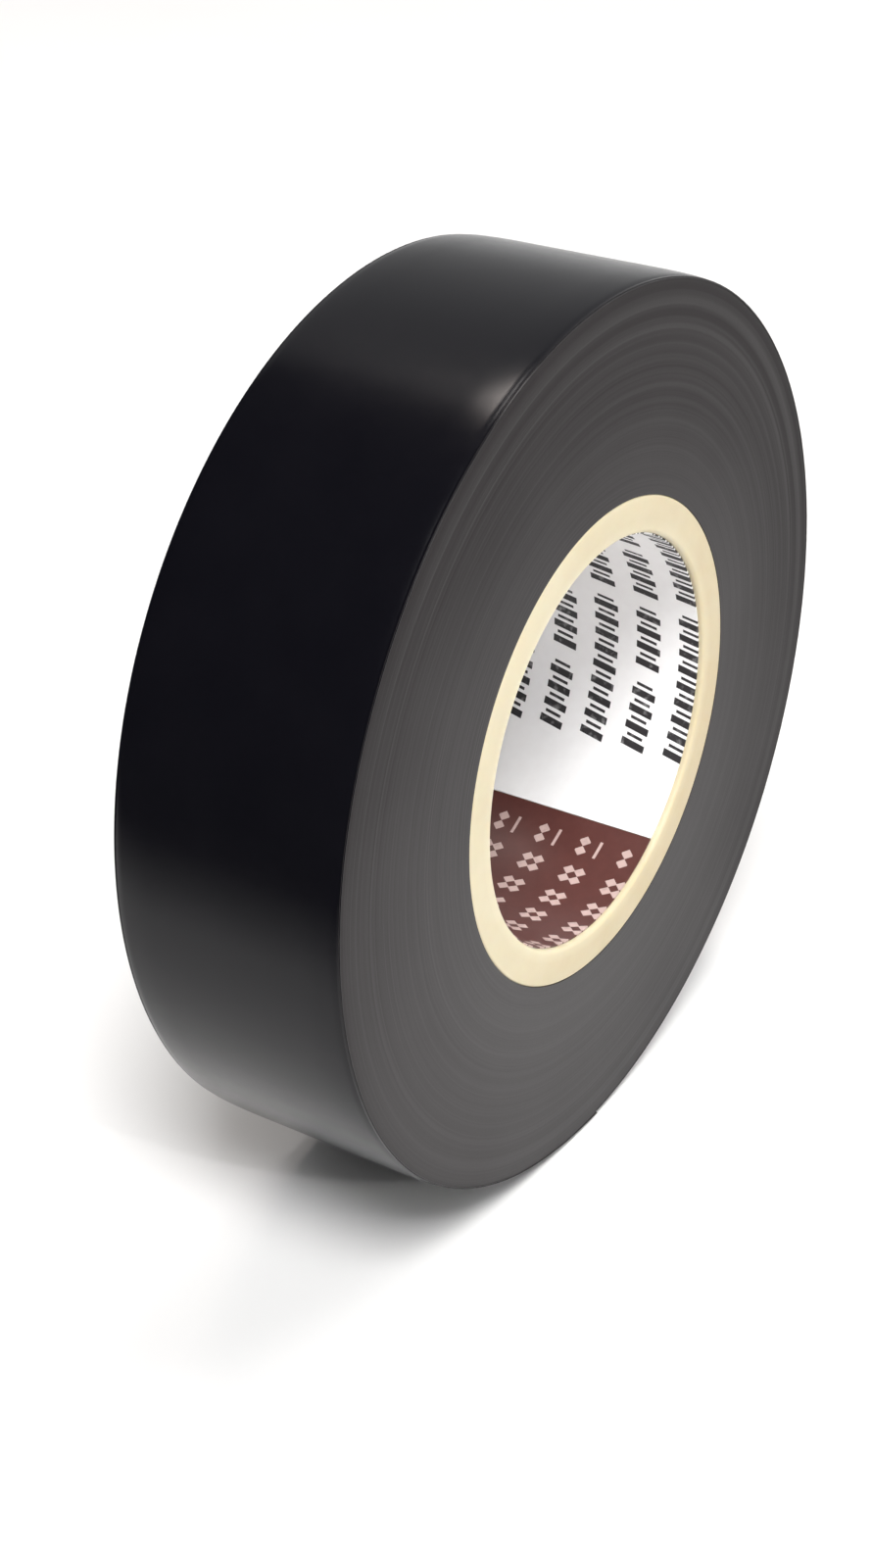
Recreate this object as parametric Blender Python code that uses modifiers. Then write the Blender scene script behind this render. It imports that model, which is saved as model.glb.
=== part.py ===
"""Roll of black PVC electrical tape, standing upright on its rim.

The origin is the centre of the roll. +Y runs along the bore, away from the front face, and +Z is up.
Angles lie in the XZ plane and grow from +X towards +Z, so the foot of the roll is at -90 degrees.
The tape winds outwards counter-clockwise, as seen from the front, and its free end is at the foot.
"""

import math

import bpy

MM = 0.001

# Driving dimensions of the roll.
TAPE_WIDTH = 19.0 * MM
OUTER_RADIUS = 36.0 * MM
CORE_OUTER_RADIUS = 19.45 * MM
BORE_RADIUS = 16.5 * MM
CORE_CHAMFER = 0.35 * MM

# The tape is a PVC film with a layer of adhesive on its inner side.
FILM_THICKNESS = 0.11 * MM
ADHESIVE_THICKNESS = 0.03 * MM
LAYER_GAP = 0.01 * MM
TURN_PITCH = FILM_THICKNESS + ADHESIVE_THICKNESS + 2 * LAYER_GAP

# The printed paper liner inside the core.
LABEL_WIDTH = 18.0 * MM
LABEL_THICKNESS = 0.12 * MM
LABEL_SEAM_GAP = 0.3 * MM
GLUE_GAP = 0.02 * MM

# Every round piece has the same facets, so that nested layers stay parallel. One facet is the foot.
FACETS = 96
FACET_ANGLE = 2 * math.pi / FACETS
FOOT_ANGLE = -math.pi / 2
TIP_ANGLE = FOOT_ANGLE + FACET_ANGLE / 2
LABEL_SEAM_FACET = 87

# The free end peels off as a chain of short segments, joined along lines on its outer surface.
TAIL_SEGMENTS = 10
SEGMENT_FACETS = 2
SEGMENT_GAP = 0.1 * MM
TAIL_FACETS = TAIL_SEGMENTS * SEGMENT_FACETS

IVORY = (0.90, 0.78, 0.50, 1.0)
PAPER_WHITE = (0.88, 0.87, 0.85, 1.0)
FILM_BLACK = (0.010, 0.010, 0.012, 1.0)
ADHESIVE_BLACK = (0.030, 0.028, 0.030, 1.0)
CUT_EDGE_GREY = (0.065, 0.060, 0.062, 1.0)


def clear_scene():
    for old in list(bpy.data.objects):
        bpy.data.objects.remove(old, do_unlink=True)


def make_material(name, colour, roughness):
    material = bpy.data.materials.new(name)
    material.use_nodes = True
    shader = material.node_tree.nodes["Principled BSDF"]
    shader.inputs["Base Color"].default_value = colour
    shader.inputs["Roughness"].default_value = roughness
    shader.inputs["Metallic"].default_value = 0.0
    material.diffuse_color = colour
    return material


def turn_radius(facet):
    """Outer radius of the last turn, a number of facets back from the free end.

    It is constant under the tail and then falls evenly by one tape thickness.
    """
    share = max(0, facet - TAIL_FACETS) / (FACETS - TAIL_FACETS)
    return OUTER_RADIUS - share * TURN_PITCH


def ring_point(facet, radius):
    """The point at this radius, a number of facets back from the free end."""
    angle = TIP_ANGLE - facet * FACET_ANGLE
    return (radius * math.cos(angle), radius * math.sin(angle))


def circle_outline(radius):
    return [ring_point(facet, radius) for facet in range(FACETS)]


def strip_outline(first, last, depth, thickness):
    """Outline of a layer of the last turn, from one facet to another, with half a gap at each end."""
    end_trim = SEGMENT_GAP / 2 / (OUTER_RADIUS * FACET_ANGLE)
    facets = [first + end_trim, *range(first + 1, last), last - end_trim]
    outer = [ring_point(f, turn_radius(f) - depth) for f in facets]
    inner = [ring_point(f, turn_radius(f) - depth - thickness) for f in facets]
    return outer + inner[::-1]


def pack_outline():
    """Outer outline of the wound turns under the last one, with a step where the tape's end lies."""
    return [ring_point(facet, turn_radius(facet) - TURN_PITCH) for facet in range(FACETS + 1)]


def label_outline():
    """Outline of the liner: one turn of paper whose ends almost meet at the seam."""
    outer_radius = BORE_RADIUS - GLUE_GAP
    seam_trim = LABEL_SEAM_GAP / 2 / (BORE_RADIUS * FACET_ANGLE)
    first = LABEL_SEAM_FACET
    last = first + FACETS
    facets = [first + seam_trim, *range(first + 1, last), last - seam_trim]
    outer = [ring_point(f, outer_radius) for f in facets]
    inner = [ring_point(f, outer_radius - LABEL_THICKNESS) for f in facets]
    return outer + inner[::-1]


def extrude_outlines(name, outlines, width, material, collection, hinge=None):
    """A flat outline across the roll, given its width along Y. A hinge is an empty that carries it."""
    origin_x, origin_z = (hinge.matrix_world.translation[i] for i in (0, 2)) if hinge else (0, 0)
    curve = bpy.data.curves.new(name, "CURVE")
    curve.dimensions = "2D"
    curve.fill_mode = "BOTH"
    curve.extrude = width / 2
    for outline in outlines:
        spline = curve.splines.new("POLY")
        spline.points.add(len(outline) - 1)
        for point, (x, z) in zip(spline.points, outline):
            point.co = (x - origin_x, z - origin_z, 0, 1)
        spline.use_cyclic_u = True
    curve.materials.append(material)
    part = bpy.data.objects.new(name, curve)
    part.rotation_euler = (math.pi / 2, 0, 0)
    part.parent = hinge
    collection.objects.link(part)
    return part


def make_core_tube(collection, material):
    """The moulded core: a turned tube with a small chamfer on all four edges."""
    half = TAPE_WIDTH / 2
    outer = CORE_OUTER_RADIUS
    inner = BORE_RADIUS
    profile = [
        (outer - CORE_CHAMFER, half),
        (outer, half - CORE_CHAMFER),
        (outer, CORE_CHAMFER - half),
        (outer - CORE_CHAMFER, -half),
        (inner + CORE_CHAMFER, -half),
        (inner, CORE_CHAMFER - half),
        (inner, half - CORE_CHAMFER),
        (inner + CORE_CHAMFER, half),
    ]
    start = FACET_ANGLE / 2
    vertices = [(r * math.cos(start), r * math.sin(start), along) for r, along in profile]
    edges = [(i, (i + 1) % len(profile)) for i in range(len(profile))]
    mesh = bpy.data.meshes.new("core_tube")
    mesh.from_pydata(vertices, edges, [])
    mesh.materials.append(material)
    core = bpy.data.objects.new("core_tube", mesh)
    core.rotation_euler = (math.pi / 2, 0, 0)
    collection.objects.link(core)
    screw = core.modifiers.new("turned", "SCREW")
    screw.steps = FACETS
    screw.render_steps = FACETS
    screw.use_merge_vertices = True
    screw.merge_threshold = 0.01 * MM
    screw.use_smooth_shade = False


def make_hinge(number, parent, collection):
    """An empty on the line where this segment of the tail folds away from the one before it."""
    fold_facet = TAIL_FACETS - (number - 1) * SEGMENT_FACETS
    x, z = ring_point(fold_facet, OUTER_RADIUS)
    hinge = bpy.data.objects.new(f"tail_hinge_{number:02d}", None)
    hinge.empty_display_size = TAPE_WIDTH / 4
    collection.objects.link(hinge)
    hinge.location = (x, 0, z)
    if parent:
        hinge.location -= parent.matrix_world.translation
        hinge.parent = parent
    bpy.context.view_layer.update()
    return hinge


def make_tail(collection, film_material, adhesive_material):
    """The peeling end of the tape, in segments numbered from the roll out to the free end."""
    hinge = None
    for number in range(1, TAIL_SEGMENTS + 1):
        hinge = make_hinge(number, hinge, collection)
        last = TAIL_FACETS - (number - 1) * SEGMENT_FACETS
        first = last - SEGMENT_FACETS
        film = strip_outline(first, last, 0, FILM_THICKNESS)
        adhesive = strip_outline(first, last, FILM_THICKNESS + LAYER_GAP, ADHESIVE_THICKNESS)
        film_name = f"tail_film_{number:02d}"
        adhesive_name = f"tail_adhesive_{number:02d}"
        extrude_outlines(film_name, [film], TAPE_WIDTH, film_material, collection, hinge)
        extrude_outlines(adhesive_name, [adhesive], TAPE_WIDTH, adhesive_material, collection, hinge)


def make_outer_turn(collection, film_material, adhesive_material):
    """The rest of the last turn, which stays on the roll while the tail peels."""
    film = strip_outline(TAIL_FACETS, FACETS, 0, FILM_THICKNESS)
    adhesive = strip_outline(TAIL_FACETS, FACETS, FILM_THICKNESS + LAYER_GAP, ADHESIVE_THICKNESS)
    extrude_outlines("outer_turn_film", [film], TAPE_WIDTH, film_material, collection)
    extrude_outlines("outer_turn_adhesive", [adhesive], TAPE_WIDTH, adhesive_material, collection)


def main():
    clear_scene()
    collection = bpy.data.collections.new("electrical_tape_roll")
    bpy.context.scene.collection.children.link(collection)

    ivory = make_material("core_ivory", IVORY, 0.45)
    paper = make_material("label_paper", PAPER_WHITE, 0.55)
    film = make_material("film_black", FILM_BLACK, 0.35)
    adhesive = make_material("adhesive_black", ADHESIVE_BLACK, 0.6)
    cut_edge = make_material("wound_cut_edge", CUT_EDGE_GREY, 0.7)

    make_core_tube(collection, ivory)
    extrude_outlines("bore_label", [label_outline()], LABEL_WIDTH, paper, collection)
    turns = [pack_outline(), circle_outline(CORE_OUTER_RADIUS + GLUE_GAP)]
    extrude_outlines("wound_turns", turns, TAPE_WIDTH, cut_edge, collection)
    make_outer_turn(collection, film, adhesive)
    make_tail(collection, film, adhesive)


main()
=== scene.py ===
"""Looks of a roll of black electrical tape.

It has fine wound turns, a free end, an ivory core and a printed liner.
Lengths are in metres. The roll's centre is the origin, +Y runs along the bore away from the front face, and
+Z is up. A turn angle is measured clockwise from the tape's free end, as seen from the front, in degrees.
"""

import math

import bpy
import numpy as np
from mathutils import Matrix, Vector


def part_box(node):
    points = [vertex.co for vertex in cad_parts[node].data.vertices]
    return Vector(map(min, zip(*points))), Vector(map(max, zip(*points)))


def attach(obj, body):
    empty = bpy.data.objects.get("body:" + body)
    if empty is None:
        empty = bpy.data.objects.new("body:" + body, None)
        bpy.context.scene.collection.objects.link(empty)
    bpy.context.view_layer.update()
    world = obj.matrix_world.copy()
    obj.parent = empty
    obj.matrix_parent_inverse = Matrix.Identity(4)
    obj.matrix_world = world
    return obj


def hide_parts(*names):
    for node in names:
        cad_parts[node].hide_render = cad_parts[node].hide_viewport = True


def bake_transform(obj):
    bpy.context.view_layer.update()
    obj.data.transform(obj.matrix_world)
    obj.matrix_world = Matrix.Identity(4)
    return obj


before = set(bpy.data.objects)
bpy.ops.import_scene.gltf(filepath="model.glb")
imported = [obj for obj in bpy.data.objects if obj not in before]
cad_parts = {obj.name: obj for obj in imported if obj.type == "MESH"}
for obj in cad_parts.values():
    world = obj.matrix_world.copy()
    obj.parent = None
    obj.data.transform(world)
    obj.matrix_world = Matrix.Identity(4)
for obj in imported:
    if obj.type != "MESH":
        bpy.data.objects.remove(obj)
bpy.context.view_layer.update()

MM = 0.001

# Sizes read from the frame. The CAD's rounds are prisms: CAD_ROUND is the radius of their flats over the
# radius of their corners.
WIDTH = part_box("wound_turns")[1].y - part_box("wound_turns")[0].y
FACETS = 96
HALF_FACET = 180 / FACETS
CAD_ROUND = math.cos(math.radians(HALF_FACET))
OUTER_RADIUS = -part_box("tail_film_10")[0].z / CAD_ROUND
CORE_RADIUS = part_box("core_tube")[1].x / CAD_ROUND
LINER_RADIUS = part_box("bore_label")[1].x / CAD_ROUND
LINER_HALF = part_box("bore_label")[1].y

# The tape: a film with adhesive under it.
PITCH = 0.16 * MM
FILM = 0.12 * MM
CONTACT_GAP = 0.002 * MM
TIP_ANGLE = -90 + HALF_FACET
TAIL_SPAN = 75.0
SEGMENTS = 10
SEGMENT_SPAN = TAIL_SPAN / SEGMENTS
ARC_STEP = 0.5

# The free end's tip stands off the turn below it.
TIP_LIFT = 0.12 * MM
TIP_LIFT_SPAN = 8.0
RIM_RADIUS = OUTER_RADIUS - TIP_LIFT

# The last turn across its width: the film's slit edges are rounded over, and wider shoulders bow inwards.
EDGE_BAND = 0.80 * MM
EDGE_DROP = 0.11 * MM
SHOULDER = 3.2 * MM
SHOULDER_DROP = 0.13 * MM
EDGE_POINTS = 7
FLAT_POINTS = 5

# The turns under the last one. Their edges wander in and out, slowly and from turn to turn, and the last few
# turns sink at the rim. Wander lengths are in turns.
TURN_STEPS = 180
TURNS = 101
CORE_GAP = 0.02 * MM
GROOVE = 0.014 * MM
EDGE_WANDER = 0.035 * MM
SLOW_SHARE = 0.55
SLOW_LENGTH = 6.3
QUICK_SHARE = 0.45
QUICK_LENGTH = 0.83
FRONT_SEED = 11
BACK_SEED = 23
SUNK_TURNS = 5
SUNK_DEPTH = 0.05 * MM

# The grey of the side faces: the shares of broad bands, single turns and smudges, then how far painted shade
# darkens it per metre upwards and to the right, and how far it darkens over the whole face from core to rim
# and in a narrow band at the rim. The grey is at its palest where PALEST_SHARE or more is left.
BANDS_SHARE = 0.5
TURNS_SHARE = 0.22
SMUDGE_SHARE = 0.28
PAINTED_SHADE_UP = 10.5
PAINTED_SHADE_RIGHT = 3.0
DARKER_OUT = 0.46
DARK_BAND = 0.8 * MM
DARKER_AT_RIM = 0.2
PALEST_SHARE = 0.90

# The core, whose colour is mottled and pales in a band at the bore. Painted light and shade make it paler
# upwards and to the left, and darker to the right.
BORE_RADIUS = 16.5 * MM
MOUTH_RADIUS = 0.35 * MM
MOUTH_STEPS = 6
CORE_STEPS = 512
CORE_MOTTLE = 0.6
CORE_PAINTED_LIGHT_UP = 8.0
CORE_PAINTED_LIGHT_LEFT = 14.0
CORE_PALE_BAND = 1.1 * MM
CORE_PALER_IN = 0.3

# The liner, which ripples a little.
LINER_THICKNESS = 0.12 * MM
LINER_STEPS = 720
LINER_RIPPLE = 0.012 * MM
RIPPLES_PER_TURN = (7, 2.3)
SEAM_ANGLE = 305.625
SEAM_GAP = 0.06 * MM

# Faces that meet at more than this angle have a sharp edge between them.
SHARP_ANGLE = 35

# Print on the liner, in millimetres: distances round the bore from the seam, and depths from the front face.
ROW_PITCH = 3.93
FIRST_ROW = 1.1
MARK_HEIGHT = 2.2
BARS_START = 6.9
BARS_END = 76.0
LONG_GROUP = 13.0
SHORT_GROUP = 5.7
GROUP_GAP = 1.35
BAR_LEAN = 0.2
BAR_PITCH = 1.46
THICK_BAR = 0.62
THIN_BAR = 0.26
THIN_BAR_PLACE = 1.02
THIN_BAR_HEIGHT = 1.5
FIRST_COLUMN = 0.95
COLUMN_PITCH = 3.12
FIRST_COLUMN_RISE = 0.12
LOZENGE_PLACE = 0.5
LOZENGE_SQUAT = 0.9
LOZENGE_SIZE = 0.5
UNDERBAR = 0.26
UNDERBAR_PLACE = 0.8
UNDERBAR_LENGTH = 1.7
MAROON_LENGTH = 26.0

# Colours in linear light. A pair holds the two ends of a material's range.
FILM_COLOURS = ((0.0032, 0.0031, 0.0048), (0.0052, 0.0050, 0.0070))
ADHESIVE_COLOURS = ((0.018, 0.016, 0.017), (0.036, 0.034, 0.035))
CUT_EDGE_COLOURS = ((0.012, 0.0095, 0.0102), (0.069, 0.0655, 0.0665))
CORE_COLOURS = ((0.52, 0.425, 0.26), (0.70, 0.65, 0.475))
PAPER_COLOURS = ((0.90, 0.89, 0.89), (0.95, 0.95, 0.95))
MAROON_COLOURS = ((0.075, 0.020, 0.016), (0.105, 0.030, 0.024))
BLACK_INK = (0.022, 0.020, 0.022)
PALE_INK = (0.52, 0.38, 0.35)
FLOOR_COLOURS = ((0.83, 0.825, 0.82), (0.86, 0.855, 0.85))
WHITE = (1.0, 1.0, 1.0, 1.0)
BLACK = (0.0, 0.0, 0.0, 1.0)

# Most of a noise's values lie in this range.
NOISE_LOW = 0.3
NOISE_HIGH = 0.7

# The camera: its place in outer radii, its heading from +Y towards +X, its tilt and its lens in millimetres.
CAMERA_PLACE = (-4.094, -2.465, 2.515)
CAMERA_HEADING = 57.3
CAMERA_TILT = -29.4
CAMERA_LENS = 56.9
CAMERA_SENSOR = 36.0
CAMERA_CLIP = 0.01

FLOOR_RADIUS = 0.5
FLOOR_CORNERS = 96
FLOOR_GAP = 0.02 * MM

# Soft lights: name, azimuth from +X towards +Y, elevation, side length, radiance and colour.
LIGHT_DISTANCE = 2.0
SOFTBOXES = (
    ("key", 216, 58, 0.72, 25.5, (1.0, 1.0, 1.0)),
    ("fill", 228, 40, 1.04, 3.2, (1.0, 1.0, 1.0)),
    ("side", -30, 45, 0.72, 6.0, (1.0, 0.99, 0.97)),
    ("overhead", 57, 65, 0.28, 14.5, (1.0, 0.91, 0.86)),
    ("glint", 10, 77, 0.42, 9.5, (1.0, 0.96, 0.93)),
)

# The snoot: a narrow spot from the front that lights the liner in the bore. Its beam is the lit radius.
SNOOT_AZIMUTH = 256
SNOOT_ELEVATION = 27
SNOOT_DISTANCE = 1.2
SNOOT_BEAM = 22 * MM
SNOOT_BLEND = 0.6
SNOOT_POWER = 75.0
SNOOT_RADIUS = 0.04

# The pale backdrop behind the roll: middle and half width in azimuth, top edge and its softness, radiance
# high up and at the floor, and the elevation where the two meet. The rest of the room is nearly dark.
BACKDROP_MIDDLE = 8.0
BACKDROP_HALF = 58.0
BACKDROP_TOP = 58.5
BACKDROP_EDGE = 6.0
BACKDROP_RADIANCE = 0.50
BACKDROP_LOW_RADIANCE = 0.80
BACKDROP_LOW = 15.0
ROOM_RADIANCE = 0.01

# The black card on the left, standing on the floor: its side, its place, and the height over which its foot
# fades out.
FLAG_SIZE = 1.0
FLAG_X = -0.070
FLAG_Y = 0.46
FLAG_FADE = 0.025


# ---------------------------------------------------------------- node building

class Maths:
    """A shader value that takes Python arithmetic and makes Math nodes from it."""

    def __init__(self, tree, value):
        self.tree = tree
        self.value = value

    def make(self, operation, *others):
        node = self.tree.nodes.new("ShaderNodeMath")
        node.operation = operation
        for socket, item in zip(node.inputs, (self, *others)):
            value = item.value if isinstance(item, Maths) else item
            if isinstance(value, bpy.types.NodeSocket):
                self.tree.links.new(value, socket)
            else:
                socket.default_value = value
        return Maths(self.tree, node.outputs[0])

    def __add__(self, other):
        return self.make("ADD", other)

    def __sub__(self, other):
        return self.make("SUBTRACT", other)

    def __mul__(self, other):
        return self.make("MULTIPLY", other)

    def __truediv__(self, other):
        return self.make("DIVIDE", other)

    def below(self, other):
        return self.make("LESS_THAN", other)

    def above(self, other):
        return self.make("GREATER_THAN", other)

    def floor(self):
        return self.make("FLOOR")

    def wrap(self, period):
        return self.make("FLOORED_MODULO", period)

    def size(self):
        return self.make("ABSOLUTE")

    def either(self, other):
        return self.make("MAXIMUM", other)


def new_material(name, roughness, **settings):
    material = bpy.data.materials.new(name)
    material.use_nodes = True
    tree = material.node_tree
    shader = tree.nodes["Principled BSDF"]
    shader.inputs["Roughness"].default_value = roughness
    for key, value in settings.items():
        shader.inputs[key.replace("_", " ")].default_value = value
    return material, tree, shader


def object_position(tree):
    """The piece's own coordinates, which are the roll's at rest."""
    return tree.nodes.new("ShaderNodeTexCoord").outputs["Object"]


def split_xyz(tree, vector):
    node = tree.nodes.new("ShaderNodeSeparateXYZ")
    tree.links.new(vector, node.inputs[0])
    return [Maths(tree, output) for output in node.outputs]


def noise(tree, scale, detail, along=None):
    """Noise over the piece, with features of about 1/scale, or along one value if that is given."""
    node = tree.nodes.new("ShaderNodeTexNoise")
    node.inputs["Scale"].default_value = scale
    node.inputs["Detail"].default_value = detail
    if along is None:
        tree.links.new(object_position(tree), node.inputs["Vector"])
    else:
        node.noise_dimensions = "1D"
        tree.links.new(along.value, node.inputs["W"])
    return Maths(tree, node.outputs["Fac"])


def mix_colour(tree, share, first, second):
    node = tree.nodes.new("ShaderNodeMix")
    node.data_type = "RGBA"
    tree.links.new(share.value, node.inputs["Factor"])
    sockets = [s for s in node.inputs if s.type == "RGBA"]
    for socket, item in zip(sockets, (first, second)):
        if isinstance(item, bpy.types.NodeSocket):
            tree.links.new(item, socket)
        else:
            socket.default_value = (*item, 1.0)
    return [s for s in node.outputs if s.type == "RGBA"][0]


def mix_values(share, first, second):
    """The first value where the share is 0 and the second where it is 1."""
    return first + (second - first) * share


def map_range(tree, value, low, high, to_low, to_high):
    node = tree.nodes.new("ShaderNodeMapRange")
    tree.links.new(value.value, node.inputs["Value"])
    for key, number in (("From Min", low), ("From Max", high), ("To Min", to_low), ("To Max", to_high)):
        node.inputs[key].default_value = number
    return Maths(tree, node.outputs["Result"])


def set_colour(tree, shader, share, colours):
    """A base colour that goes from the first of two colours to the second."""
    tree.links.new(mix_colour(tree, share, *colours), shader.inputs["Base Color"])


def vary_roughness(tree, shader, value, low, high):
    """A roughness between two limits that follows a noise."""
    roughness = map_range(tree, value, NOISE_LOW, NOISE_HIGH, low, high)
    tree.links.new(roughness.value, shader.inputs["Roughness"])


def add_bump(tree, shader, height, distance, strength):
    node = tree.nodes.new("ShaderNodeBump")
    node.inputs["Distance"].default_value = distance
    node.inputs["Strength"].default_value = strength
    tree.links.new(height.value, node.inputs["Height"])
    tree.links.new(node.outputs["Normal"], shader.inputs["Normal"])


# ---------------------------------------------------------------- materials

def film_material():
    """Satin black PVC film with a fine calendered grain."""
    material, tree, shader = new_material("film_black_pvc", 0.2, Specular_IOR_Level=0.22)
    set_colour(tree, shader, noise(tree, 220, 4), FILM_COLOURS)
    vary_roughness(tree, shader, noise(tree, 900, 5), 0.19, 0.22)
    add_bump(tree, shader, noise(tree, 2600, 3), 0.001 * MM, 0.5)
    return material


def adhesive_material():
    """Tacky black rubber adhesive, rougher and a little lighter than the film."""
    material, tree, shader = new_material("adhesive_black_rubber", 0.5)
    set_colour(tree, shader, noise(tree, 500, 5), ADHESIVE_COLOURS)
    vary_roughness(tree, shader, noise(tree, 1400, 4), 0.42, 0.62)
    add_bump(tree, shader, noise(tree, 1800, 4), 0.01 * MM, 0.8)
    return material


def cut_edge_material():
    """The slit edges of the turns, matte dark grey. The grey drifts from turn to turn along the spiral."""
    material, tree, shader = new_material("wound_edge_grey", 0.6, Specular_IOR_Level=0.3)
    x, _, z = split_xyz(tree, object_position(tree))
    radius = (x * x + z * z).make("SQRT")
    angle = z.make("ARCTAN2", x)
    turn = (radius - CORE_RADIUS) / PITCH - angle / (2 * math.pi)
    bands = noise(tree, 0.16, 3, along=turn)
    turns = noise(tree, 1.3, 2, along=turn)
    smudges = noise(tree, 70, 3)
    share = bands * BANDS_SHARE + turns * TURNS_SHARE + smudges * SMUDGE_SHARE
    at_rim = map_range(tree, radius, RIM_RADIUS - DARK_BAND, RIM_RADIUS, 0.0, DARKER_AT_RIM)
    outwards = map_range(tree, radius, CORE_RADIUS, RIM_RADIUS, 0.0, DARKER_OUT)
    # Painted shade: the grey darkens upwards and to the right across the side faces.
    share = share - z * PAINTED_SHADE_UP - x * PAINTED_SHADE_RIGHT - outwards - at_rim
    share = map_range(tree, share, 0.0, PALEST_SHARE, 0.0, 1.0)
    set_colour(tree, shader, share, CUT_EDGE_COLOURS)
    vary_roughness(tree, shader, bands, 0.5, 0.68)
    add_bump(tree, shader, noise(tree, 3000, 3), 0.01 * MM, 0.5)
    return material


def core_material():
    """Moulded ivory plastic that lets a little light in."""
    material, tree, shader = new_material(
        "core_ivory_plastic",
        0.42,
        Subsurface_Weight=0.25,
        Subsurface_Radius=(1.0, 0.6, 0.25),
        Subsurface_Scale=0.8 * MM,
    )
    x, _, z = split_xyz(tree, object_position(tree))
    radius = (x * x + z * z).make("SQRT")
    at_bore = map_range(tree, radius, BORE_RADIUS, BORE_RADIUS + CORE_PALE_BAND, 1.0, 0.0)
    # Painted light and shade: the ivory is paler upwards and to the left and darker to the right.
    share = noise(tree, 160, 4) * CORE_MOTTLE + z * CORE_PAINTED_LIGHT_UP - x * CORE_PAINTED_LIGHT_LEFT
    share = share + at_bore * CORE_PALER_IN
    share = map_range(tree, share, 0.0, 1.0, 0.0, 1.0)
    set_colour(tree, shader, share, CORE_COLOURS)
    vary_roughness(tree, shader, noise(tree, 700, 4), 0.36, 0.5)
    add_bump(tree, shader, noise(tree, 1500, 4), 0.006 * MM, 0.5)
    return material


def print_marks(tree):
    """Where the liner's inks lie: black slanted bars on white, and pale lozenges and bars on a maroon field.

    The marks stand in rows round the bore. They are plain shapes and none is a letter.
    """
    x, y, z = split_xyz(tree, object_position(tree))
    degrees = z.make("ARCTAN2", x) * (180 / math.pi)
    arc_mm = math.radians(BORE_RADIUS / MM)
    after_seam = (degrees - SEAM_ANGLE).wrap(360) * arc_mm
    before_seam = (degrees * -1 + SEAM_ANGLE).wrap(360) * arc_mm
    depth = (y + WIDTH / 2) / MM
    row = ((depth - FIRST_ROW) / ROW_PITCH + 0.5).floor()
    up = depth - row * ROW_PITCH - FIRST_ROW
    in_row = up.size().below(MARK_HEIGHT / 2)
    short_row = row.wrap(2)

    # Black bars, thick and thin in turn. They stand in long groups, or on every other row in short ones.
    lean = after_seam - up * BAR_LEAN - BARS_START
    place = mix_values(short_row, lean.wrap(LONG_GROUP + GROUP_GAP), lean.wrap(SHORT_GROUP + GROUP_GAP))
    length = short_row * (SHORT_GROUP - LONG_GROUP) + LONG_GROUP
    in_bar = place.wrap(BAR_PITCH)
    thick = in_bar.below(THICK_BAR)
    thin = (in_bar - THIN_BAR_PLACE).size().below(THIN_BAR / 2) * up.size().below(THIN_BAR_HEIGHT / 2)
    black = thick.either(thin) * place.below(length) * in_row * lean.above(0) * after_seam.below(BARS_END)

    # Pale marks on the maroon: four small lozenges, and in the first column two lozenges over a bar.
    column = before_seam - FIRST_COLUMN
    across_mark = column.wrap(COLUMN_PITCH) - COLUMN_PITCH / 2
    first = column.below(COLUMN_PITCH)
    upper = up - first * FIRST_COLUMN_RISE
    fold_across = (across_mark.size() - LOZENGE_PLACE).size()
    fold_up = (upper.size() - LOZENGE_PLACE).size()
    lozenges = (fold_across + fold_up * LOZENGE_SQUAT).below(LOZENGE_SIZE)
    lower_half = first * upper.below(0)
    bar = (up + UNDERBAR_PLACE).size().below(UNDERBAR / 2) * across_mark.size().below(UNDERBAR_LENGTH / 2)
    pale = (lozenges - lower_half).above(0.5).either(bar * first) * in_row * column.above(0)
    maroon = before_seam.below(MAROON_LENGTH)
    return black, maroon, pale


def liner_material():
    """White printed paper."""
    material, tree, shader = new_material("liner_printed_paper", 0.5)
    black, maroon, pale = print_marks(tree)
    fibres = noise(tree, 1200, 5)
    paper = mix_colour(tree, fibres, *PAPER_COLOURS)
    worn = map_range(tree, noise(tree, 1500, 4), 0.25, 0.45, 0.75, 1.0)
    white_part = mix_colour(tree, black * worn, paper, BLACK_INK)
    red = mix_colour(tree, fibres, *MAROON_COLOURS)
    maroon_part = mix_colour(tree, pale * worn, red, PALE_INK)
    set_colour(tree, shader, maroon, (white_part, maroon_part))
    roughness = map_range(tree, maroon, 0.0, 1.0, 0.5, 0.4)
    tree.links.new(roughness.value, shader.inputs["Roughness"])
    add_bump(tree, shader, fibres, 0.008 * MM, 0.4)
    return material


def floor_material():
    material, tree, shader = new_material("floor_white", 0.7, Specular_IOR_Level=0.2)
    set_colour(tree, shader, noise(tree, 20, 2), FLOOR_COLOURS)
    return material


# ---------------------------------------------------------------- shapes

def last_turn_radius(turn_angle):
    """Outer radius of the last turn: lifted at the tip, level along the free end, then falling by a pitch."""
    share = np.clip((turn_angle - TAIL_SPAN) / (360 - TAIL_SPAN), 0, 1)
    lift = TIP_LIFT * np.clip(1 - turn_angle / TIP_LIFT_SPAN, 0, 1) ** 2
    return RIM_RADIUS - share * PITCH + lift


def across(turn_angle, radius):
    """X and Z of a point on the roll."""
    angle = np.radians(TIP_ANGLE - turn_angle)
    return radius * np.cos(angle), radius * np.sin(angle)


def rim_point(turn_angle):
    x, z = across(turn_angle, last_turn_radius(turn_angle))
    return Vector((float(x), 0.0, float(z)))


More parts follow.
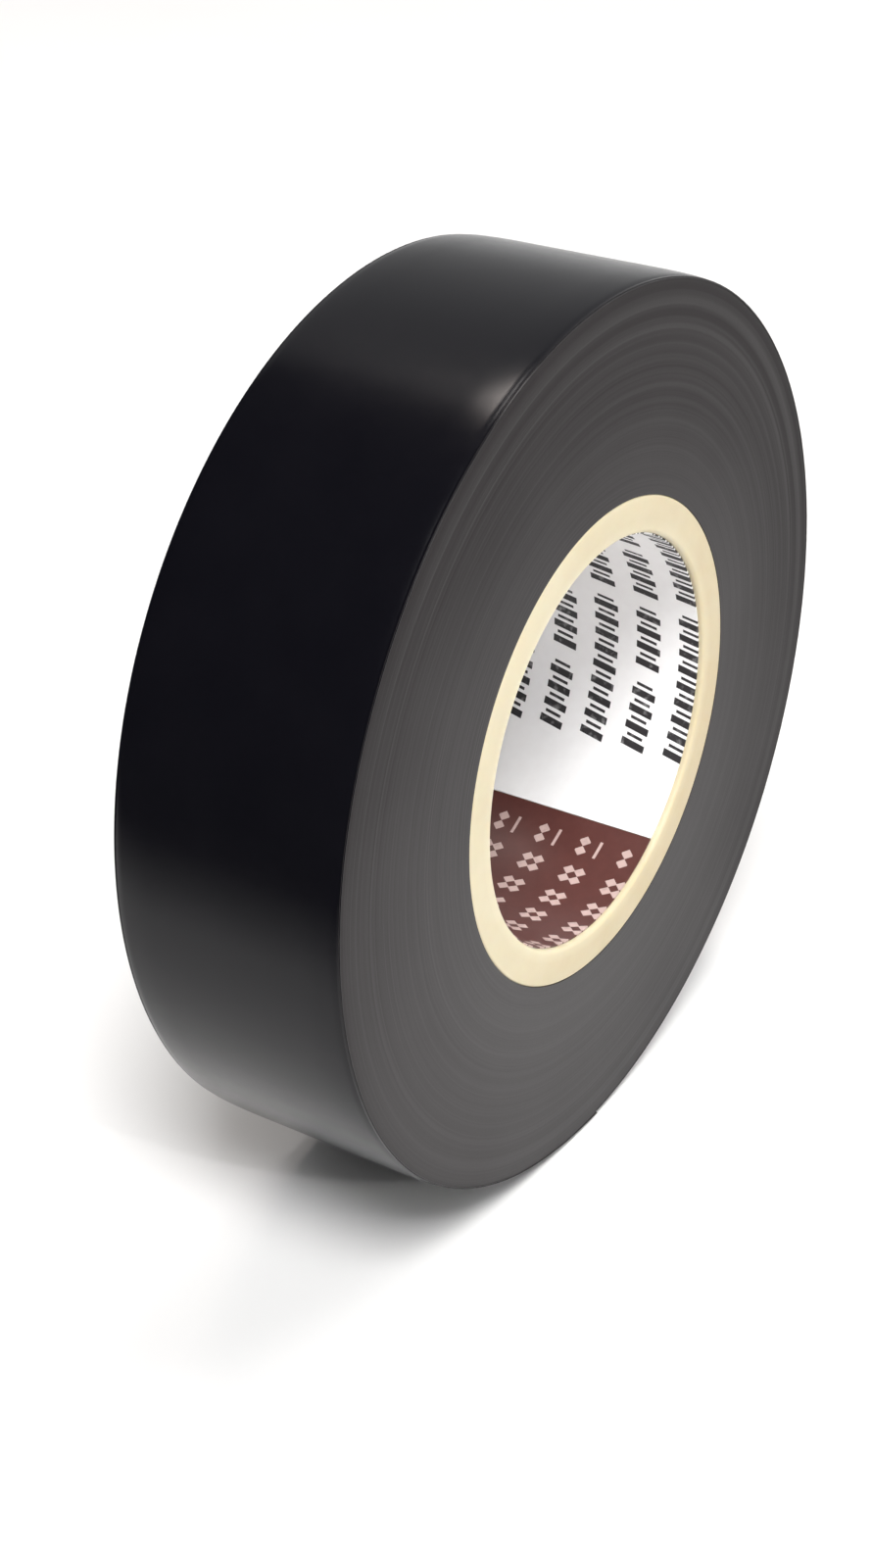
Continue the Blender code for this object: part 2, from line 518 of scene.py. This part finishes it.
def finish_mesh(name, points, faces, materials):
    mesh = bpy.data.meshes.new(name)
    mesh.from_pydata([tuple(p) for p in points], [], faces)
    mesh.validate()
    for material in materials:
        mesh.materials.append(material)
    mesh.shade_smooth()
    mesh.set_sharp_from_angle(angle=math.radians(SHARP_ANGLE))
    piece = bpy.data.objects.new(name, mesh)
    bpy.context.scene.collection.objects.link(piece)
    return piece


def swept(name, angles, sections, materials, closed):
    """A closed section swept round the roll. sections holds a list of (radius, y) for each angle."""
    count = len(sections[0])
    points = []
    for angle, section in zip(angles, sections):
        for radius, y in section:
            x, z = across(angle, radius)
            points.append((x, y, z))
    faces = []
    steps = len(angles) if closed else len(angles) - 1
    for i in range(steps):
        a, b = i * count, (i + 1) % len(angles) * count
        for j in range(count):
            k = (j + 1) % count
            faces.append((a + j, a + k, b + k, b + j))
    if not closed:
        end = (len(angles) - 1) * count
        faces.append(tuple(range(count))[::-1])
        faces.append(tuple(end + j for j in range(count)))
    return finish_mesh(name, points, faces, materials)


def strip_section(top, thickness, half_width, drop=0.0, shoulder=0.0):
    """Section of a layer, from the front edge over the outer face and back along the inner one.

    The outer face drops at its edges, and both faces bow at their shoulders.
    """
    band = np.linspace(0, EDGE_BAND, EDGE_POINTS)
    bowed = np.linspace(EDGE_BAND, SHOULDER, EDGE_POINTS)[1:]
    edge = half_width - np.concatenate([band, bowed])
    flat = np.linspace(-edge[-1], edge[-1], FLAT_POINTS)[1:-1]
    ys = np.concatenate([-edge, flat, edge[::-1]])
    inward = half_width - np.abs(ys)
    fall = drop * np.clip(1 - inward / EDGE_BAND, 0, 1) ** 2
    bow = shoulder * np.clip(1 - inward / SHOULDER, 0, 1) ** 2
    outer = [(top - f - b, y) for f, b, y in zip(fall, bow, ys)]
    return outer + [(top - thickness - b, y) for b, y in zip(bow[::-1], ys[::-1])]


def tape_layer(name, first, last, depth, thickness, material):
    """A stretch of the last turn, one layer deep, between two turn angles."""
    steps = max(2, round((last - first) / ARC_STEP))
    angles = np.linspace(first, last, steps + 1)
    drop = EDGE_DROP if depth == 0 else 0.0
    tops = [last_turn_radius(a) - depth for a in angles]
    sections = [strip_section(top, thickness, WIDTH / 2, drop, SHOULDER_DROP) for top in tops]
    return swept(name, angles, sections, [material], closed=False)


def smooth_wander(places, seed, spacing):
    """Smooth random values between 0 and 1 along a line."""
    knots = np.random.RandomState(seed).rand(int(places.max() / spacing) + 3)
    at = places / spacing
    low = at.astype(int)
    share = at - low
    share = share * share * (3 - 2 * share)
    return knots[low] * (1 - share) + knots[low + 1] * share


def groove_line(seed):
    """Radius, turn angle and inset of the groove of one side face, along the whole spiral."""
    steps = np.arange((TURNS + 1) * TURN_STEPS + 1)
    turn = steps / TURN_STEPS
    wound = (steps % TURN_STEPS) / TURN_STEPS * 360
    rise = np.clip(wound / (360 - TAIL_SPAN), 0, 1)
    inner = CORE_RADIUS + CORE_GAP
    pitch = (RIM_RADIUS - 2 * PITCH - inner) / TURNS
    radius = inner + pitch * (steps // TURN_STEPS + rise)
    slow = SLOW_SHARE * smooth_wander(turn, seed, SLOW_LENGTH)
    quick = QUICK_SHARE * smooth_wander(turn, seed + 1, QUICK_LENGTH)
    sunk = np.clip((turn - (TURNS - SUNK_TURNS)) / SUNK_TURNS, 0, 1) ** 2 * SUNK_DEPTH
    return radius, 360 - wound, (slow + quick) * EDGE_WANDER + sunk


def line_points(turn_angle, radius, y):
    x, z = across(turn_angle, radius)
    return list(zip(x, y, z))


def wound_face(side, seed, start):
    """The front or back side face: a groove and a crown that wind outwards, with points numbered from start.

    Returns its points and faces, and the numbers of the points round the core, round the rim, and up the step
    under the tape's tip.
    """
    n = TURN_STEPS
    radius, turn_angle, inset = groove_line(seed)
    groove_y = side * (WIDTH / 2 - inset - GROOVE)
    points = line_points(turn_angle, radius, groove_y)
    crown = start + len(points)
    points += line_points(turn_angle[:-n], (radius[:-n] + radius[n:]) / 2, side * (WIDTH / 2 - inset[:-n]))
    core = start + len(points)
    points += line_points(turn_angle[1 : n + 1], CORE_RADIUS + CORE_GAP, groove_y[1 : n + 1])
    ring = [start, *range(core, core + n)]
    faces = []
    for step in range(TURNS * n):
        low, middle, high = start + step, crown + step, start + step + n
        faces.append((low, low + 1, middle + 1, middle))
        faces.append((middle, middle + 1, high + 1, high))
    for j in range(n):
        corners = (ring[j], ring[j + 1], start + j + 1, start + j)
        faces.append(tuple(dict.fromkeys(corners)))
    if side < 0:
        faces = [face[::-1] for face in faces]
    rim = list(range(start + TURNS * n, start + (TURNS + 1) * n + 1))
    return points, faces, ring, rim, [rim[0], crown + TURNS * n, rim[-1]]


def wall(front, back):
    """Faces between a line of points on the front and the same line on the back."""
    return [(front[i], front[i + 1], back[i + 1], back[i]) for i in range(len(front) - 1)]


def make_wound_turns(edge, film):
    """All turns under the last one: two side faces, and walls at the core, at the rim and at the step."""
    points, front, front_ring, front_rim, front_step = wound_face(-1, FRONT_SEED, 0)
    back_points, back, back_ring, back_rim, back_step = wound_face(1, BACK_SEED, len(points))
    walls = wall(front_ring, back_ring) + wall(back_rim, front_rim) + wall(front_step, back_step)
    piece = finish_mesh("wound_tape", points + back_points, front + back + walls, [edge, film])
    slots = [0] * len(front + back) + [1] * len(walls)
    piece.data.polygons.foreach_set("material_index", slots)
    return piece


def arc(centre, radius, first, last):
    angles = np.radians(np.linspace(first, last, MOUTH_STEPS + 1))
    return [(centre[0] + radius * math.cos(a), centre[1] + radius * math.sin(a)) for a in angles]


def make_core(material):
    """The ivory tube, with rounded mouths. Its outer edges are rounded half as much."""
    half, r, outer, inner = WIDTH / 2, MOUTH_RADIUS, CORE_RADIUS, BORE_RADIUS
    small = r / 2
    section = arc((outer - small, -half + small), small, 0, -90)
    section += arc((inner + r, -half + r), r, -90, -180)
    section += arc((inner + r, half - r), r, 180, 90)
    section += arc((outer - small, half - small), small, 90, 0)
    angles = np.arange(0, 360, 360 / CORE_STEPS)
    return swept("core", angles, [section] * len(angles), [material], closed=True)


def make_liner(material):
    """The paper strip glued into the core, with a narrow seam between its ends."""
    seam = TIP_ANGLE - SEAM_ANGLE
    trim = math.degrees(SEAM_GAP / 2 / BORE_RADIUS)
    angles = np.linspace(seam + trim, seam + 360 - trim, LINER_STEPS + 1)
    sections = []
    for angle in angles:
        quick, slow = (math.sin(math.radians(angle * count)) for count in RIPPLES_PER_TURN)
        top = LINER_RADIUS - LINER_RIPPLE + LINER_RIPPLE * quick * slow
        sections.append(strip_section(top, LINER_THICKNESS, LINER_HALF))
    return swept("liner", angles, sections, [material], closed=False)


def make_tail(film, adhesive):
    """The free end: one stretch of each layer round each fold, and a last one that ends the tape."""
    for number in range(1, SEGMENTS + 1):
        hinge = TAIL_SPAN - (number - 1) * SEGMENT_SPAN
        start = hinge if number == 1 else hinge + SEGMENT_SPAN / 2
        end = hinge - SEGMENT_SPAN / 2
        for layer, depth, thickness, material, slot in layers(film, adhesive):
            piece = tape_layer(f"free_end_{layer}_{number:02d}", end, start, depth, thickness, material)
            rim_point(start)
            rim_point(end)
            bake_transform(piece)
            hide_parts(f"tail_{layer}_{number:02d}")
    for layer, depth, thickness, material, slot in layers(film, adhesive):
        piece = tape_layer(f"free_end_{layer}_tip", 0, SEGMENT_SPAN / 2, depth, thickness, material)
        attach(piece, f"tail_{SEGMENTS:02d}")


def layers(film, adhesive):
    """Name, depth, thickness, material and slot of the tape's two layers."""
    under = PITCH - FILM - CONTACT_GAP
    return (
        ("film", 0.0, FILM, film, "film_black"),
        ("adhesive", FILM, under, adhesive, "adhesive_black"),
    )


def make_last_turn(film, adhesive):
    """The rest of the last turn."""
    for layer, depth, thickness, material, slot in layers(film, adhesive):
        piece = tape_layer(f"last_turn_{layer}", TAIL_SPAN, 360, depth, thickness, material)
        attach(piece, "roll")
        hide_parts(f"outer_turn_{layer}")


# ---------------------------------------------------------------- stage

def make_camera():
    """The camera stands 5.4 radii away, to the front left of the roll and above it."""
    data = bpy.data.cameras.new("camera")
    data.lens = CAMERA_LENS
    data.sensor_width = CAMERA_SENSOR
    data.clip_start = CAMERA_CLIP
    camera = bpy.data.objects.new("camera", data)
    bpy.context.scene.collection.objects.link(camera)
    camera.location = OUTER_RADIUS * Vector(CAMERA_PLACE)
    heading, tilt = math.radians(CAMERA_HEADING), math.radians(CAMERA_TILT)
    look = Vector((math.sin(heading) * math.cos(tilt), math.cos(heading) * math.cos(tilt), math.sin(tilt)))
    camera.rotation_mode = "QUATERNION"
    camera.rotation_quaternion = look.to_track_quat("-Z", "Y")
    bpy.context.scene.camera = camera


def aim(name, data, azimuth, elevation, distance):
    """A light that faces the roll's centre from a given side."""
    turn, rise = math.radians(azimuth), math.radians(elevation)
    toward = Vector((math.cos(turn) * math.cos(rise), math.sin(turn) * math.cos(rise), math.sin(rise)))
    light = bpy.data.objects.new(name, data)
    bpy.context.scene.collection.objects.link(light)
    light.location = distance * toward
    light.rotation_mode = "QUATERNION"
    light.rotation_quaternion = (-toward).to_track_quat("-Z", "Y")


def make_softbox(name, azimuth, elevation, side, radiance, colour):
    """A flat square soft light."""
    data = bpy.data.lights.new(name, "AREA")
    data.size = side
    data.energy = radiance * math.pi * side * side
    data.color = colour
    aim(name, data, azimuth, elevation, LIGHT_DISTANCE)


def make_snoot():
    data = bpy.data.lights.new("snoot", "SPOT")
    data.spot_size = 2 * math.atan(SNOOT_BEAM / SNOOT_DISTANCE)
    data.spot_blend = SNOOT_BLEND
    data.shadow_soft_size = SNOOT_RADIUS
    data.energy = SNOOT_POWER
    aim("snoot", data, SNOOT_AZIMUTH, SNOOT_ELEVATION, SNOOT_DISTANCE)


def make_floor():
    bpy.ops.mesh.primitive_circle_add(vertices=FLOOR_CORNERS, radius=FLOOR_RADIUS, fill_type="NGON")
    floor = bpy.context.object
    floor.name = "floor"
    floor.location = (0, 0, -OUTER_RADIUS - FLOOR_GAP)
    floor.data.materials.append(floor_material())


def make_world():
    """A dark room with a pale backdrop behind the roll. Where the camera sees past the floor, it is white."""
    world = bpy.data.worlds.new("studio")
    world.use_nodes = True
    tree = world.node_tree
    tree.nodes.clear()
    x, y, z = split_xyz(tree, tree.nodes.new("ShaderNodeTexCoord").outputs["Generated"])
    azimuth = y.make("ARCTAN2", x) * (180 / math.pi)
    elevation = z.make("ARCSINE") * (180 / math.pi)
    aside = (azimuth - BACKDROP_MIDDLE).size()
    inside = map_range(tree, aside, BACKDROP_HALF, BACKDROP_HALF + BACKDROP_EDGE, 1.0, 0.0)
    under = map_range(tree, elevation, BACKDROP_TOP, BACKDROP_TOP + BACKDROP_EDGE, 1.0, 0.0)
    pale = map_range(tree, elevation, 0.0, BACKDROP_LOW, BACKDROP_LOW_RADIANCE, BACKDROP_RADIANCE)
    radiance = (inside * under * pale).either(ROOM_RADIANCE)
    room = tree.nodes.new("ShaderNodeBackground")
    room.inputs["Color"].default_value = WHITE
    tree.links.new(radiance.value, room.inputs["Strength"])
    beyond = tree.nodes.new("ShaderNodeBackground")
    beyond.inputs["Color"].default_value = WHITE
    mix = tree.nodes.new("ShaderNodeMixShader")
    output = tree.nodes.new("ShaderNodeOutputWorld")
    tree.links.new(tree.nodes.new("ShaderNodeLightPath").outputs["Is Camera Ray"], mix.inputs[0])
    tree.links.new(room.outputs[0], mix.inputs[1])
    tree.links.new(beyond.outputs[0], mix.inputs[2])
    tree.links.new(mix.outputs[0], output.inputs[0])
    bpy.context.scene.world = world


def make_flag():
    """A black card on the roll's left, which shows only in reflections and keeps the film black there."""
    bpy.ops.mesh.primitive_plane_add(size=FLAG_SIZE)
    card = bpy.context.object
    card.name = "flag"
    card.rotation_euler = (0, math.radians(90), 0)
    card.location = (FLAG_X, FLAG_Y, FLAG_SIZE / 2 - OUTER_RADIUS)
    material, tree, shader = new_material("flag_black", 1.0, Specular_IOR_Level=0.0)
    shader.inputs["Base Color"].default_value = BLACK
    _, _, z = split_xyz(tree, tree.nodes.new("ShaderNodeNewGeometry").outputs["Position"])
    cover = map_range(tree, z + OUTER_RADIUS, 0.0, FLAG_FADE, 0.0, 1.0)
    tree.links.new(cover.value, shader.inputs["Alpha"])
    card.data.materials.append(material)
    card.visible_camera = False
    card.visible_diffuse = False
    card.visible_shadow = False


def make_stage():
    bpy.context.scene.view_settings.view_transform = "Standard"
    make_camera()
    make_floor()
    make_world()
    make_flag()
    for softbox in SOFTBOXES:
        make_softbox(*softbox)
    make_snoot()


def main():
    make_stage()
    film, adhesive = film_material(), adhesive_material()
    core = make_core(core_material())
    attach(core, "roll")
    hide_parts("core_tube")
    liner = make_liner(liner_material())
    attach(liner, "roll")
    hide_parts("bore_label")
    wound = make_wound_turns(cut_edge_material(), film)
    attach(wound, "roll")
    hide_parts("wound_turns")
    make_last_turn(film, adhesive)
    make_tail(film, adhesive)


main()
